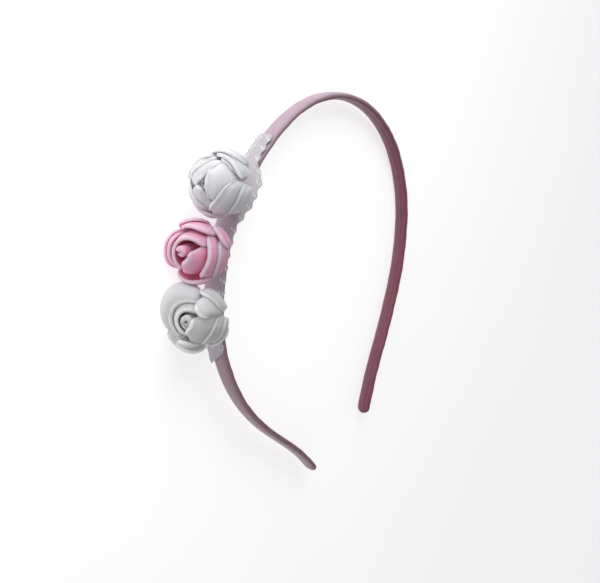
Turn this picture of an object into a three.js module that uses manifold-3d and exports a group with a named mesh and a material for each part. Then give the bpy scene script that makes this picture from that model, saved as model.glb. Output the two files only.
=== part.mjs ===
// A flower headband: a narrow hoop covered with satin ribbon, a short strip of lace on one leg, and three foam
// roses in a row on the lace. Sizes are in millimetres and angles in degrees.
// The hoop is shaped in the XY plane: +Y points to its crown, the roses are on the -X leg, and +Z is the side
// that faces up when the headband lies on a table. The whole of it is then tipped onto what it rests on.

import * as THREE from 'three';
import { mergeVertices } from 'three/addons/utils/BufferGeometryUtils.js';
import Module from 'manifold-3d';

// Driving dimensions: the hoop
const HALF_LENGTH = 176.3;
const BAND_WIDTH = 5.2;
const BAND_THICKNESS = 2.3;
const SECTION_POWER = 2.7;
const SECTION_SIDES = 12;
const BAND_STATIONS = 48;
const TIP_RADIUS = 2.6;
const TIP_STATIONS = 3;

// How the hoop bends: share of the half length from the crown, and the bend there in radians per half length.
const BENDS = [
  { share: 0.0, bend: 3.18 },
  { share: 0.25, bend: 2.87 },
  { share: 0.5, bend: 3.49 },
  { share: 0.75, bend: 1.44 },
  { share: 0.93, bend: -1.76 },
  { share: 1.0, bend: -1.76 },
];

// How the headband lies on a table: tipped a little about X and Y, onto the top and bottom roses and the far leg.
const REST_TIP = { aboutX: 0.49, aboutY: 2.32 };

// Driving dimensions: clearance between pieces that touch
const GAP = 0.3;

// Driving dimensions: the lace strip
const LACE = {
  thickness: 0.5,
  picot: 0.3,
  pitch: 3.6,
  flatHalf: 2.3,
  turnRadius: 1.4,
  stepsAcross: 5,
  eyeletInset: 1.15,
  eyeletRadius: 0.5,
  eyeletSides: 4,
  lowerSlant: 0.9,
  slantPower: 4,
};

// How far the lace reaches to the upper and lower side of the hoop's middle, and how far it turns down past the
// hoop there, from its upper end to its slanting lower end. Under the top rose a lobe of it stands out.
const LACE_EDGES = [
  { arc: -24, up: 2.2, down: 2.3, droop: 30 },
  { arc: -34, up: 2.7, down: 3.0, droop: 40 },
  { arc: -39, up: 6.4, down: 4.2, droop: 22 },
  { arc: -46, up: 6.6, down: 4.2, droop: 22 },
  { arc: -54, up: 4.0, down: 4.2, droop: 55 },
  { arc: -66, up: 3.8, down: 4.2, droop: 65 },
  { arc: -84, up: 3.6, down: 3.8, droop: 65 },
  { arc: -93, up: 3.0, down: 3.0, droop: 65 },
];

// Driving dimensions: the foam petals. All the petals of a rose follow one closing dome, and each ring of them lies
// one pitch further out than the ring inside it.
const PETAL = {
  thickness: 0.8,
  ringPitch: 1.1,
  footShare: 0.6,
  widestAt: 0.5,
  cornerPower: 3,
  curlFrom: 0.6,
  degreesPerStep: 16,
  stepsUp: 6,
};

const RINGS = { core: 0, inner: 1, middle: 2, outer: 3, skirt: 4 };

// The rolled bud and the short stem that carries all the petals.
const BUD = {
  thickness: 0.8,
  innerRadius: 0.55,
  pitch: 1.1,
  level: 6.2,
  stemRadius: 1.2,
  stemTop: 9,
  stemSides: 10,
  degreesPerStep: 30,
  stepsUp: 4,
};

// What a petal does where its row doesn't say: how far its rim falls at the corners, as a share, and from the first
// corner to the last, how far the rim curls outwards, how far the two edges are let out, and how far the belly
// stands out.
const PLAIN_PETAL = { corner: 0.24, tilt: 0, curl: 0, first: 0, last: 0, bulge: 0 };

// One row for each petal: its ring, the turn of its middle round the rose (0 faces up from the table, 90 points
// along the hoop to the crown), its whole span, and the share of the dome that its rim reaches.
const TOP_PETALS = [
  { ring: 'inner', turn: 5, span: 136, rim: 0.97, corner: 0.12 },
  { ring: 'inner', turn: 135, span: 112, rim: 0.99, corner: 0.06 },
  { ring: 'inner', turn: 245, span: 98, rim: 0.99, corner: 0.06 },
  { ring: 'middle', turn: 322, span: 112, rim: 0.76 },
  { ring: 'middle', turn: 60, span: 72, rim: 0.56 },
  { ring: 'middle', turn: 136, span: 70, rim: 0.82, curl: 0.2 },
  { ring: 'middle', turn: 216, span: 80, rim: 0.82 },
  { ring: 'outer', turn: 332, span: 84, rim: 0.5 },
  { ring: 'outer', turn: 62, span: 84, rim: 0.5 },
  { ring: 'outer', turn: 148, span: 76, rim: 0.68, curl: 0.3 },
  { ring: 'outer', turn: 238, span: 90, rim: 0.62 },
  { ring: 'skirt', turn: 82, span: 84, rim: 0.46, curl: 0.3 },
  { ring: 'skirt', turn: 190, span: 80, rim: 0.42 },
];

const MIDDLE_PETALS = [
  { ring: 'core', turn: 322, span: 160, rim: 1.0, corner: 0.02, curl: -1.5, first: 1.3 },
  { ring: 'inner', turn: 134, span: 204, rim: 0.86, corner: 0.12 },
  { ring: 'middle', turn: 358, span: 132, rim: 0.74, corner: 0.2, tilt: 0.08 },
  { ring: 'middle', turn: 177, span: 86, rim: 0.8, curl: 0.6 },
  { ring: 'outer', turn: 356, span: 92, rim: 0.57, tilt: 0.06 },
  { ring: 'outer', turn: 90, span: 84, rim: 0.72, curl: 0.2 },
  { ring: 'outer', turn: 178, span: 80, rim: 0.76, curl: 0.9 },
  { ring: 'outer', turn: 264, span: 84, rim: 0.74 },
  { ring: 'skirt', turn: 42, span: 60, rim: 0.5 },
  { ring: 'skirt', turn: 113, span: 54, rim: 0.62, curl: 0.5 },
];

const BOTTOM_PETALS = [
  { ring: 'core', turn: 155, span: 218, rim: 0.84, corner: 0.06 },
  { ring: 'inner', turn: 335, span: 130, rim: 0.92, corner: 0.04, curl: -1.2 },
  { ring: 'inner', turn: 154, span: 168, rim: 0.72, corner: 0.05, bulge: 4.4 },
  { ring: 'middle', turn: 264, span: 50, rim: 0.8 },
  { ring: 'middle', turn: 333, span: 80, rim: 0.66, corner: 0.2, tilt: 0.04 },
  { ring: 'middle', turn: 44, span: 54, rim: 0.84, corner: 0.14 },
  { ring: 'outer', turn: 258, span: 56, rim: 0.55, curl: 1.0 },
  { ring: 'outer', turn: 334, span: 74, rim: 0.45 },
  { ring: 'skirt', turn: 241, span: 68, rim: 0.42, curl: 1.6, first: 1.3 },
  { ring: 'skirt', turn: 312, span: 70, rim: 0.36 },
  { ring: 'outer', turn: 49, span: 68, rim: 0.56, corner: 0.2, tilt: -0.12 },
];

// The dome of each rose, as radius and height from the foot on the stem to the top: the four points of a curve.
const DOMES = {
  tall: [[1.85, 4.6], [5.2, 4.6], [5.6, 12.4], [0.4, 14.0]],
  open: [[1.85, 4.6], [4.4, 4.6], [5.2, 11.0], [2.6, 13.6]],
  round: [[1.85, 4.6], [5.0, 4.6], [5.4, 12.0], [1.2, 14.0]],
};

// One row for each rose: where it sits along the hoop from the crown and to its upper side, how far it stands off
// the lace, how far it leans towards the tip and towards the upper side, its size beside the petal tables, its
// foam, its dome and petals, and its bud: turns, first turn, height, how far its outer end stands lower, its taper,
// and its off-centre place.
const ROSES = [
  {
    name: 'rose_top', arc: -42.8, aside: 3.0, stand: 2.2, leanTip: 25, leanUp: -2, size: 1.1, foam: 'white',
    dome: DOMES.tall, petals: TOP_PETALS,
    bud: { turns: 2.0, turn: 60, top: 14.0, droop: 1.2, taper: 0.3, shift: 0, shiftTurn: 0 },
  },
  {
    name: 'rose_middle', arc: -60.7, aside: 0.4, stand: 1.2, leanTip: 13, leanUp: 4, size: 1.04, foam: 'pink',
    dome: DOMES.open, petals: MIDDLE_PETALS,
    bud: { turns: 0.95, turn: 200, top: 13.8, droop: 0.3, taper: 0.25, shift: 1.4, shiftTurn: 150 },
  },
  {
    name: 'rose_bottom', arc: -77.3, aside: 0.5, stand: 1.5, leanTip: -4, leanUp: 15, size: 1.12, foam: 'white',
    dome: DOMES.round, petals: BOTTOM_PETALS,
    bud: { turns: 1.2, turn: 200, top: 12.8, droop: 0.4, taper: 0.2, shift: 0, shiftTurn: 0 },
  },
];

const MATERIALS = {
  satin: new THREE.MeshStandardMaterial({ color: 0xc9a3b6, roughness: 0.45, metalness: 0 }),
  lace: new THREE.MeshStandardMaterial({ color: 0xe9e4ea, roughness: 0.85, metalness: 0 }),
  white: new THREE.MeshStandardMaterial({ color: 0xeeeef1, roughness: 0.6, metalness: 0 }),
  pink: new THREE.MeshStandardMaterial({ color: 0xf0a3bd, roughness: 0.6, metalness: 0 }),
};

// Steps in which the hoop's line is added up, the share of a surface over which its slope is measured, and the
// distance within which two points of a mesh are one.
const LINE_STEPS = 400;
const SLOPE_STEP = 1e-3;
const SAME_POINT = 1e-5;

const wasm = await Module();
wasm.setup();

const radians = THREE.MathUtils.degToRad;
const smooth = THREE.MathUtils.smoothstep;

// Bend at a share of the half length, read from the table by straight lines between its rows.
function bendAt(share) {
  const next = Math.max(1, BENDS.findIndex((row) => row.share >= share));
  const low = BENDS[next - 1];
  const high = BENDS[next];
  const part = (share - low.share) / (high.share - low.share);
  return THREE.MathUtils.lerp(low.bend, high.bend, part);
}

// The hoop's centre line: the bend is added up from the crown to the tip, once, in short steps.
function makeHoopLine() {
  const line = [{ x: 0, y: 0, turn: 0 }];
  for (let i = 1; i <= LINE_STEPS; i += 1) {
    const last = line[i - 1];
    const turn = last.turn + bendAt((i - 0.5) / LINE_STEPS) / LINE_STEPS;
    const heading = (last.turn + turn) / 2;
    const length = HALF_LENGTH / LINE_STEPS;
    line.push({ x: last.x + length * Math.cos(heading), y: last.y - length * Math.sin(heading), turn });
  }
  const middle = (Math.max(...line.map((p) => p.y)) + Math.min(...line.map((p) => p.y))) / 2;

  // Point, direction along the hoop and outward direction at a distance from the crown, minus on the rose leg.
  return function hoopAt(arc) {
    const place = Math.min(Math.abs(arc) / HALF_LENGTH, 1) * LINE_STEPS;
    const first = Math.min(Math.floor(place), LINE_STEPS - 1);
    const part = place - first;
    const side = arc < 0 ? -1 : 1;
    const mix = (key) => THREE.MathUtils.lerp(line[first][key], line[first + 1][key], part);
    const turn = side * mix('turn');
    return {
      point: new THREE.Vector3(side * mix('x'), mix('y') - middle, 0),
      along: new THREE.Vector3(Math.cos(turn), -Math.sin(turn), 0),
      out: new THREE.Vector3(Math.sin(turn), Math.cos(turn), 0),
    };
  };
}

const hoopAt = makeHoopLine();
const UP = new THREE.Vector3(0, 0, 1);

// A point beside the hoop: at a distance along it, lifted outwards and moved to the upper side.
function besideHoop(arc, lift, sideways) {
  const { point, out } = hoopAt(arc);
  return point.clone().addScaledVector(out, lift).addScaledVector(UP, sideways);
}

function geometryFrom(points, triangles) {
  const geometry = new THREE.BufferGeometry();
  geometry.setAttribute('position', new THREE.Float32BufferAttribute(points.flatMap((p) => p.toArray()), 3));
  geometry.setIndex(triangles.flat());
  return geometry;
}

// A closed body through a row of rings, with a pole at each end.
function ringBody(firstPole, rings, lastPole) {
  const sides = rings[0].length;
  const points = [firstPole, ...rings.flat(), lastPole];
  const last = points.length - 1;
  const at = (ring, side) => 1 + ring * sides + (side % sides);
  const triangles = [];
  for (let s = 0; s < sides; s += 1) {
    triangles.push([0, at(0, s), at(0, s + 1)]);
    triangles.push([last, at(rings.length - 1, s + 1), at(rings.length - 1, s)]);
    for (let r = 0; r + 1 < rings.length; r += 1) {
      triangles.push([at(r, s), at(r + 1, s + 1), at(r, s + 1)]);
      triangles.push([at(r, s), at(r + 1, s), at(r + 1, s + 1)]);
    }
  }
  return geometryFrom(points, triangles);
}

// A wall of even thickness on both sides of a surface, which is a function of two shares from 0 to 1.
function wallBody(surface, stepsA, stepsB, thickness) {
  const normalAt = (a, b) => {
    const acrossA = surface(a + SLOPE_STEP, b).sub(surface(a - SLOPE_STEP, b));
    const acrossB = surface(a, b + SLOPE_STEP).sub(surface(a, b - SLOPE_STEP));
    return acrossA.cross(acrossB).normalize();
  };
  const front = [];
  const back = [];
  for (let i = 0; i <= stepsA; i += 1) {
    for (let j = 0; j <= stepsB; j += 1) {
      const point = surface(i / stepsA, j / stepsB);
      const normal = normalAt(i / stepsA, j / stepsB);
      front.push(point.clone().addScaledVector(normal, thickness / 2));
      back.push(point.clone().addScaledVector(normal, -thickness / 2));
    }
  }
  const row = stepsB + 1;
  const offset = front.length;
  const triangles = [];
  for (let i = 0; i < stepsA; i += 1) {
    for (let j = 0; j < stepsB; j += 1) {
      const [p, q, r, s] = [i * row + j, (i + 1) * row + j, (i + 1) * row + j + 1, i * row + j + 1];
      triangles.push([p, q, r], [p, r, s]);
      triangles.push([offset + p, offset + r, offset + q], [offset + p, offset + s, offset + r]);
    }
  }
  const edge = [];
  for (let i = 0; i < stepsA; i += 1) edge.push(i * row);
  for (let j = 0; j < stepsB; j += 1) edge.push(stepsA * row + j);
  for (let i = stepsA; i > 0; i -= 1) edge.push(i * row + stepsB);
  for (let j = stepsB; j > 0; j -= 1) edge.push(j);
  edge.forEach((p, k) => {
    const q = edge[(k + 1) % edge.length];
    triangles.push([p, offset + p, offset + q], [p, offset + q, q]);
  });
  return geometryFrom([...front, ...back], triangles);
}

function solidFrom(geometry) {
  const bare = geometry.clone();
  bare.deleteAttribute('normal');
  bare.deleteAttribute('uv');
  const merged = mergeVertices(bare, SAME_POINT);
  return new wasm.Manifold(new wasm.Mesh({
    numProp: 3,
    vertProperties: new Float32Array(merged.attributes.position.array),
    triVerts: new Uint32Array(merged.index.array),
  }));
}

function geometryOf(solid) {
  const mesh = solid.getMesh();
  const geometry = new THREE.BufferGeometry();
  geometry.setAttribute('position', new THREE.BufferAttribute(new Float32Array(mesh.vertProperties), 3));
  geometry.setIndex(new THREE.BufferAttribute(new Uint32Array(mesh.triVerts), 1));
  return geometry;
}

function namedMesh(name, geometry, material) {
  const mesh = new THREE.Mesh(geometry, material);
  mesh.name = name;
  return mesh;
}

// The hoop: a flattened round section carried along the line, shrinking to a round end at each tip.
function makeBand() {
  const section = [];
  for (let i = 0; i < SECTION_SIDES; i += 1) {
    const angle = (2 * Math.PI * (i + 0.5)) / SECTION_SIDES;
    const bulge = (value) => Math.sign(value) * Math.abs(value) ** (2 / SECTION_POWER);
    section.push({ lift: bulge(Math.sin(angle)), side: bulge(Math.cos(angle)) });
  }
  const straight = HALF_LENGTH - TIP_RADIUS;
  const stations = [];
  for (let i = 0; i < BAND_STATIONS; i += 1) {
    stations.push({ arc: -straight + (2 * straight * i) / (BAND_STATIONS - 1), size: 1 });
  }
  for (let i = 1; i <= TIP_STATIONS; i += 1) {
    const angle = (Math.PI / 2) * (i / (TIP_STATIONS + 0.5));
    const tip = { arc: straight + TIP_RADIUS * Math.sin(angle), size: Math.cos(angle) };
    stations.push(tip);
    stations.unshift({ arc: -tip.arc, size: tip.size });
  }
  const rings = stations.map(({ arc, size }) => section.map(({ lift, side }) => besideHoop(
    arc,
    lift * (BAND_THICKNESS / 2) * Math.sqrt(size),
    side * (BAND_WIDTH / 2) * size,
  )));
  return ringBody(besideHoop(-HALF_LENGTH, 0, 0), rings, besideHoop(HALF_LENGTH, 0, 0));
}

// A column of the lace table at any arc, by straight lines between the rows and on past the first and last.
function laceReach(arc, column) {
  const passed = LACE_EDGES.filter((row) => row.arc > arc).length;
  const next = THREE.MathUtils.clamp(passed, 1, LACE_EDGES.length - 1);
  const low = LACE_EDGES[next - 1];
  const high = LACE_EDGES[next];
  return THREE.MathUtils.lerp(low[column], high[column], (arc - low.arc) / (high.arc - low.arc));
}

// The lace strip across the hoop: flat on the outer face, then turned down past both sides.
function lacePlace(arc, across) {
  const past = Math.max(Math.abs(across) - LACE.flatHalf, 0);
  const turn = Math.min(past / LACE.turnRadius, radians(laceReach(arc, 'droop')));
  const rest = past - turn * LACE.turnRadius;
  const reach = LACE.turnRadius * Math.sin(turn) + rest * Math.cos(turn);
  const drop = LACE.turnRadius * (1 - Math.cos(turn)) + rest * Math.sin(turn);
  const sideways = Math.sign(across) * (Math.min(Math.abs(across), LACE.flatHalf) + reach);
  return besideHoop(arc, BAND_THICKNESS / 2 + GAP + LACE.thickness / 2 - drop, sideways);
}

function makeLace() {
  const upper = LACE_EDGES[0].arc;
  const lower = LACE_EDGES[LACE_EDGES.length - 1].arc;
  const motifs = Math.round((upper - lower) / LACE.pitch);
  const place = (share, across) => {
    const slant = LACE.lowerSlant * across * share ** LACE.slantPower;
    return lacePlace(THREE.MathUtils.lerp(upper, lower, share) + slant, across);
  };
  const edge = (share, column) => {
    const wave = LACE.picot * Math.cos(2 * Math.PI * motifs * share);
    return laceReach(THREE.MathUtils.lerp(upper, lower, share), column) - wave;
  };
  const surface = (share, crossing) => {
    return place(share, THREE.MathUtils.lerp(-edge(share, 'down'), edge(share, 'up'), crossing));
  };
  let lace = solidFrom(wallBody(surface, 2 * motifs, LACE.stepsAcross, LACE.thickness));
  for (let i = 0; i < motifs; i += 1) {
    const share = (i + 0.5) / motifs;
    for (const across of [LACE.eyeletInset - edge(share, 'down'), edge(share, 'up') - LACE.eyeletInset]) {
      lace = lace.subtract(solidFrom(makeEyeletPunch(place, share, across)));
    }
  }
  return geometryOf(lace);
}

// A short round bar through the lace, square to its surface, which leaves one eyelet.
function makeEyeletPunch(place, share, across) {
  const alongStrip = place(share + SLOPE_STEP, across).sub(place(share - SLOPE_STEP, across));
  const acrossStrip = place(share, across + SLOPE_STEP).sub(place(share, across - SLOPE_STEP));
  const through = alongStrip.cross(acrossStrip).normalize();
  const radius = LACE.eyeletRadius;
  const punch = new THREE.CylinderGeometry(radius, radius, 3 * LACE.thickness, LACE.eyeletSides);
  punch.applyQuaternion(new THREE.Quaternion().setFromUnitVectors(new THREE.Vector3(0, 1, 0), through));
  return punch.translate(...place(share, across).toArray());
}

// A point of a rose's dome at a share of the way up, moved outwards square to the dome: its radius and height.
function domeAt(dome, outwards, share) {
  const along = dome.getPoint(share + SLOPE_STEP).sub(dome.getPoint(share - SLOPE_STEP)).normalize();
  return dome.getPoint(share).add(new THREE.Vector2(along.y, -along.x).multiplyScalar(outwards));
}

// A petal's middle surface: a part of its ring's shell, narrow at the foot and up to its rim.
function petalSurface(dome, row) {
  const petal = { ...PLAIN_PETAL, ...row };
  const outwards = PETAL.ringPitch * RINGS[petal.ring];
  return (acrossShare, upShare) => {
    const across = 2 * acrossShare - 1;
    const fall = petal.tilt * across + petal.corner * Math.abs(across) ** PETAL.cornerPower;
    const up = upShare * petal.rim * (1 - fall);
    const opening = smooth(up, 0, PETAL.widestAt);
    const width = THREE.MathUtils.lerp(PETAL.footShare, 1, opening);
    const angle = radians(petal.turn + (petal.span / 2) * across * width);
    const cup = domeAt(dome, outwards, up);
    const edge = (across < 0 ? petal.first : petal.last) * across * across * opening;
    const curl = petal.curl * smooth(upShare, PETAL.curlFrom, 1) ** 2;
    const belly = petal.bulge * Math.sin(Math.PI * upShare) * (1 - across * across);
    const radius = cup.x + edge + curl + belly;
    return new THREE.Vector3(radius * Math.cos(angle), radius * Math.sin(angle), cup.y);
  };
}

function makePetal(dome, petal) {
  const stepsAcross = Math.round(petal.span / PETAL.degreesPerStep);
  return wallBody(petalSurface(dome, petal), stepsAcross, PETAL.stepsUp, PETAL.thickness);
}

// The bud: a strip of foam rolled up on the stem, a little narrower at the top and often off the middle.
function makeBud(rose) {
  const { bud } = rose;
  const away = radians(bud.shiftTurn);
  const surface = (roundShare, upShare) => {
    const turned = bud.turns * roundShare;
    const angle = radians(bud.turn + 360 * turned);
    const radius = (BUD.innerRadius + BUD.pitch * turned) * (1 - bud.taper * upShare * upShare);
    return new THREE.Vector3(
      bud.shift * Math.cos(away) + radius * Math.cos(angle),
      bud.shift * Math.sin(away) + radius * Math.sin(angle),
      THREE.MathUtils.lerp(BUD.level, bud.top - bud.droop * roundShare * roundShare, upShare),
    );
  };
  const stepsRound = Math.round((360 * bud.turns) / BUD.degreesPerStep);
  const roll = solidFrom(wallBody(surface, stepsRound, BUD.stepsUp, BUD.thickness));
  const tilt = radians(Math.hypot(rose.leanTip, rose.leanUp));
  const foot = -rose.stand / rose.size + BUD.stemRadius * Math.tan(tilt);
  const length = BUD.stemTop - foot;
  const stem = new THREE.CylinderGeometry(BUD.stemRadius, BUD.stemRadius, length, BUD.stemSides);
  stem.rotateX(Math.PI / 2);
  stem.translate(0, 0, foot + length / 2);
  return geometryOf(roll.add(solidFrom(stem)));
}

// A rose stands on the lace with its stem outwards, and leans about its foot.
function makeRose(rose) {
  const { along, out } = hoopAt(rose.arc);
  const seat = BAND_THICKNESS / 2 + GAP + LACE.thickness + GAP;
  const place = new THREE.Group();
  place.applyMatrix4(new THREE.Matrix4().makeBasis(UP, along, out));
  place.position.copy(besideHoop(rose.arc, seat, rose.aside));
  const lean = new THREE.Group();
  lean.rotation.set(radians(rose.leanTip), radians(rose.leanUp), 0);
  place.add(lean);
  const flower = new THREE.Group();
  flower.position.z = rose.stand;
  flower.scale.setScalar(rose.size);
  lean.add(flower);
  flower.add(namedMesh(`${rose.name}_bud`, makeBud(rose), MATERIALS[rose.foam]));
  const bends = rose.dome.map(([radius, height]) => new THREE.Vector2(radius, height));
  const dome = new THREE.CubicBezierCurve(...bends);
  rose.petals.forEach((petal, i) => {
    const name = `${rose.name}_petal_${String(i + 1).padStart(2, '0')}`;
    flower.add(namedMesh(name, makePetal(dome, petal), MATERIALS[rose.foam]));
  });
  return place;
}

const headband = new THREE.Group();
headband.add(namedMesh('band', makeBand(), MATERIALS.satin));
headband.add(namedMesh('lace_strip', makeLace(), MATERIALS.lace));
ROSES.forEach((rose) => headband.add(makeRose(rose)));

// The whole headband is tipped as it lies, and moved so that the middle of its underside is the origin.
headband.rotation.set(radians(REST_TIP.aboutX), radians(REST_TIP.aboutY), 0);
headband.updateMatrixWorld(true);
const room = new THREE.Box3().setFromObject(headband, true);
const middle = room.getCenter(new THREE.Vector3());
headband.position.set(-middle.x, -middle.y, -room.min.z);

export default headband;
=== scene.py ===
# %% [markdown]
# # A flower headband: satin ribbon, lace and foam roses
# The plain solids of a headband come in as a fixed frame. This lesson puts the real surfaces over them: a
# hoop covered with satin ribbon, a strip of lace on one leg, and three small roses of foam on the lace.
# Lengths are in millimetres, as on a maker's ruler, and each mesh is turned into metres when it is made.

# %% Load the frame
import math

import bpy
import numpy as np
from mathutils import Matrix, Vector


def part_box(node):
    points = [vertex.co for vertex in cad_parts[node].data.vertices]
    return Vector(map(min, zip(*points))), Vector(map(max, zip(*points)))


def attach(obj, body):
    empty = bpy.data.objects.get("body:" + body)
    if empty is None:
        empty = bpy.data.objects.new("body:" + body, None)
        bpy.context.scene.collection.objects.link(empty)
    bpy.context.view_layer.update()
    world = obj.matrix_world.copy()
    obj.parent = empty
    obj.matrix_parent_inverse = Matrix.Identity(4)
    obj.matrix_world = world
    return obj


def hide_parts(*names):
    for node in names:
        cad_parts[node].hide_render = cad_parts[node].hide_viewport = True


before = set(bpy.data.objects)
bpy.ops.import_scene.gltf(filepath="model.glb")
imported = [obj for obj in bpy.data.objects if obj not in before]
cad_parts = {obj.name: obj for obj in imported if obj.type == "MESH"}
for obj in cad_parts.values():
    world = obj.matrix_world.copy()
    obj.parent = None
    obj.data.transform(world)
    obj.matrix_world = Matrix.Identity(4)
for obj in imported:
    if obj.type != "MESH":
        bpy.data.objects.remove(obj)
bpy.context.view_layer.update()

# %% [markdown]
# ## The line of the hoop
# A hair hoop is a springy strip. It bends most over the head and turns outwards again near its tips. It
# could be drawn as a Bezier curve, but its bend is easier to say in words: so much here, so much there. The
# line is then the sum of many short steps, each turned a little more than the one before.

# %% The hoop's line
MM = 0.001
HALF_LENGTH = 176.3
BEND_SHARES = [0.0, 0.25, 0.5, 0.75, 0.93, 1.0]
BENDS = [3.18, 2.87, 3.49, 1.44, -1.76, -1.76]
LINE_STEPS = 400
UP = np.array([0.0, 0.0, 1.0])


def add_up_bends():
    """Turn is the sum of the bends from the crown on; the line is the sum of steps along that heading."""
    share = (np.arange(LINE_STEPS) + 0.5) / LINE_STEPS
    turn = np.append(0.0, np.cumsum(np.interp(share, BEND_SHARES, BENDS)) / LINE_STEPS)
    heading = (turn[1:] + turn[:-1]) / 2
    step = HALF_LENGTH / LINE_STEPS
    x = np.append(0.0, np.cumsum(np.cos(heading)) * step)
    y = np.append(0.0, -np.cumsum(np.sin(heading)) * step)
    return np.linspace(0, HALF_LENGTH, LINE_STEPS + 1), x, y - (y.max() + y.min()) / 2, turn


LINE_ARC, LINE_X, LINE_Y, LINE_TURN = add_up_bends()


def hoop_at(arc):
    """Point, direction along and direction outwards at an arc from the crown, minus on the roses' leg."""
    side = np.where(arc < 0, -1.0, 1.0)
    far = np.abs(arc)
    turn = side * np.interp(far, LINE_ARC, LINE_TURN)
    x = side * np.interp(far, LINE_ARC, LINE_X)
    y = np.interp(far, LINE_ARC, LINE_Y)
    level = np.zeros_like(x)
    point = np.stack([x, y, level], axis=-1)
    along = np.stack([np.cos(turn), -np.sin(turn), level], axis=-1)
    out = np.stack([np.sin(turn), np.cos(turn), level], axis=-1)
    return point, along, out


def beside_hoop(arc, lift, sideways):
    """The hoop's point, moved outwards by lift and towards the upper side by sideways."""
    point, _, out = hoop_at(arc)
    return point + np.asarray(lift)[..., None] * out + np.asarray(sideways)[..., None] * UP


print("hoop: %.1f mm wide, %.1f mm high" % (2 * LINE_X.max(), LINE_Y.max() - LINE_Y.min()))

# %% [markdown]
# ## How it lies
# The headband lies on a table, tipped a little onto its roses. The frame already lies that way, so the new
# pieces need the same tip and the same shift. The tip is two small turns. The shift is measured: the band's
# corner points are worked out once as coarsely as the solid has them, and their box is laid on the box of
# the solid.

# %% The band's section and the way it lies
BAND_WIDTH = 5.2
BAND_THICKNESS = 2.3
SECTION_POWER = 2.7
TIP_RADIUS = 2.6
TIP_ABOUT_X = 0.49
TIP_ABOUT_Y = 2.32
TURN_X = Matrix.Rotation(math.radians(TIP_ABOUT_X), 3, "X")
TURN_Y = Matrix.Rotation(math.radians(TIP_ABOUT_Y), 3, "Y")
TIP = np.array(TURN_X @ TURN_Y)
SOLID_RINGS = 48
SOLID_TIP_RINGS = 3
SOLID_SIDES = 12


def band_stations(count, tip_steps):
    """Even stations on the long part and some on a quarter circle at each tip, with their share of size."""
    straight = HALF_LENGTH - TIP_RADIUS
    quarter = (np.pi / 2) * np.arange(1, tip_steps + 1) / (tip_steps + 0.5)
    tip = straight + TIP_RADIUS * np.sin(quarter)
    arc = np.concatenate([-tip[::-1], np.linspace(-straight, straight, count), tip])
    size = np.concatenate([np.cos(quarter)[::-1], np.ones(count), np.cos(quarter)])
    return arc, size


def band_section(angle):
    """A flattened round: cosine and sine to the power 2/p, signs kept, p above 2, as sideways and lift."""
    cosine, sine = np.cos(angle), np.sin(angle)
    power = 2 / SECTION_POWER
    return np.sign(cosine) * np.abs(cosine) ** power, np.sign(sine) * np.abs(sine) ** power


def lay_shift():
    """Middle of the solid band's box less the middle of the same box worked out here, in metres."""
    arc, size = band_stations(SOLID_RINGS, SOLID_TIP_RINGS)
    sideways, lift = band_section(2 * np.pi * (np.arange(SOLID_SIDES) + 0.5) / SOLID_SIDES)
    lift = lift * BAND_THICKNESS / 2 * np.sqrt(size)[:, None]
    sideways = sideways * BAND_WIDTH / 2 * size[:, None]
    rings = beside_hoop(np.repeat(arc[:, None], SOLID_SIDES, axis=1), lift, sideways).reshape(-1, 3)
    ends = hoop_at(np.array([-HALF_LENGTH, HALF_LENGTH]))[0]
    tipped = np.concatenate([rings, ends]) @ TIP.T * MM
    low, high = (np.array(corner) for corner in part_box("band"))
    print("band's box against the solid's, mm:", np.round(1000 * (np.ptp(tipped, axis=0) - (high - low)), 3))
    return (low + high) / 2 - (tipped.min(axis=0) + tipped.max(axis=0)) / 2


SHIFT = lay_shift()
print("shift in mm:", np.round(1000 * SHIFT, 3))

# %% [markdown]
# ## From a grid of points to a mesh
# Every piece here is a grid of points, or two grids that share their border. The helper below takes the
# points, the faces and a flat map (UV), tips and shifts the points, and makes the object. The object itself
# stays at the origin, unturned, so a pattern that reads Object coordinates stays where it is.

# %% Mesh helpers
SHARP_ANGLE = math.radians(50)


def grid_faces(index):
    """Four-cornered faces of a table of point numbers: each number with its next row and next column."""
    corners = [index[:-1, :-1], index[1:, :-1], index[1:, 1:], index[:-1, 1:]]
    return np.stack(corners, axis=-1).reshape(-1, 4)


def closed_round(rows, columns, start=0):
    """Table of point numbers from a start on, row by row, with the first column again as the last."""
    index = start + np.arange(rows * columns).reshape(rows, columns)
    return np.concatenate([index, index[:, :1]], axis=1)


def make_piece(name, points, faces, corner_uv, finish, shades=None):
    """An object of points in mm on the hoop's axes, laid as the frame lies, with its map and its shades."""
    mesh = bpy.data.meshes.new(name)
    mesh.from_pydata((points @ TIP.T * MM + SHIFT).tolist(), [], faces)
    mesh.uv_layers.new(name="flat").data.foreach_set("uv", np.asarray(corner_uv, dtype=float).ravel())
    for key, values in (shades or {}).items():
        shade = mesh.attributes.new(key, "FLOAT", "POINT")
        shade.data.foreach_set("value", np.asarray(values, dtype=float).ravel())
    mesh.shade_smooth()
    mesh.set_sharp_from_angle(angle=SHARP_ANGLE)
    mesh.materials.append(finish)
    piece = bpy.data.objects.new(name, mesh)
    bpy.context.collection.objects.link(piece)
    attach(piece, "root")
    return piece


print("faces of a tube of 3 rings with 4 points each:", len(grid_faces(closed_round(3, 4))))

# %% [markdown]
# ## Finishes from nodes
# A finish is a small graph. A pattern gives a value, and the value gives colour, roughness or bump. Each
# helper below adds one node, so a finish can be written down step by step.

# %% Finish helpers
def start_finish(name):
    """A new material, its node tree and its surface shader."""
    finish = bpy.data.materials.new(name)
    finish.use_nodes = True
    return finish, finish.node_tree, finish.node_tree.nodes["Principled BSDF"]


def flat_map(tree):
    """The piece's flat map, which counts millimetres."""
    node = tree.nodes.new("ShaderNodeUVMap")
    node.uv_map = "flat"
    return node.outputs["UV"]


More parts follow.
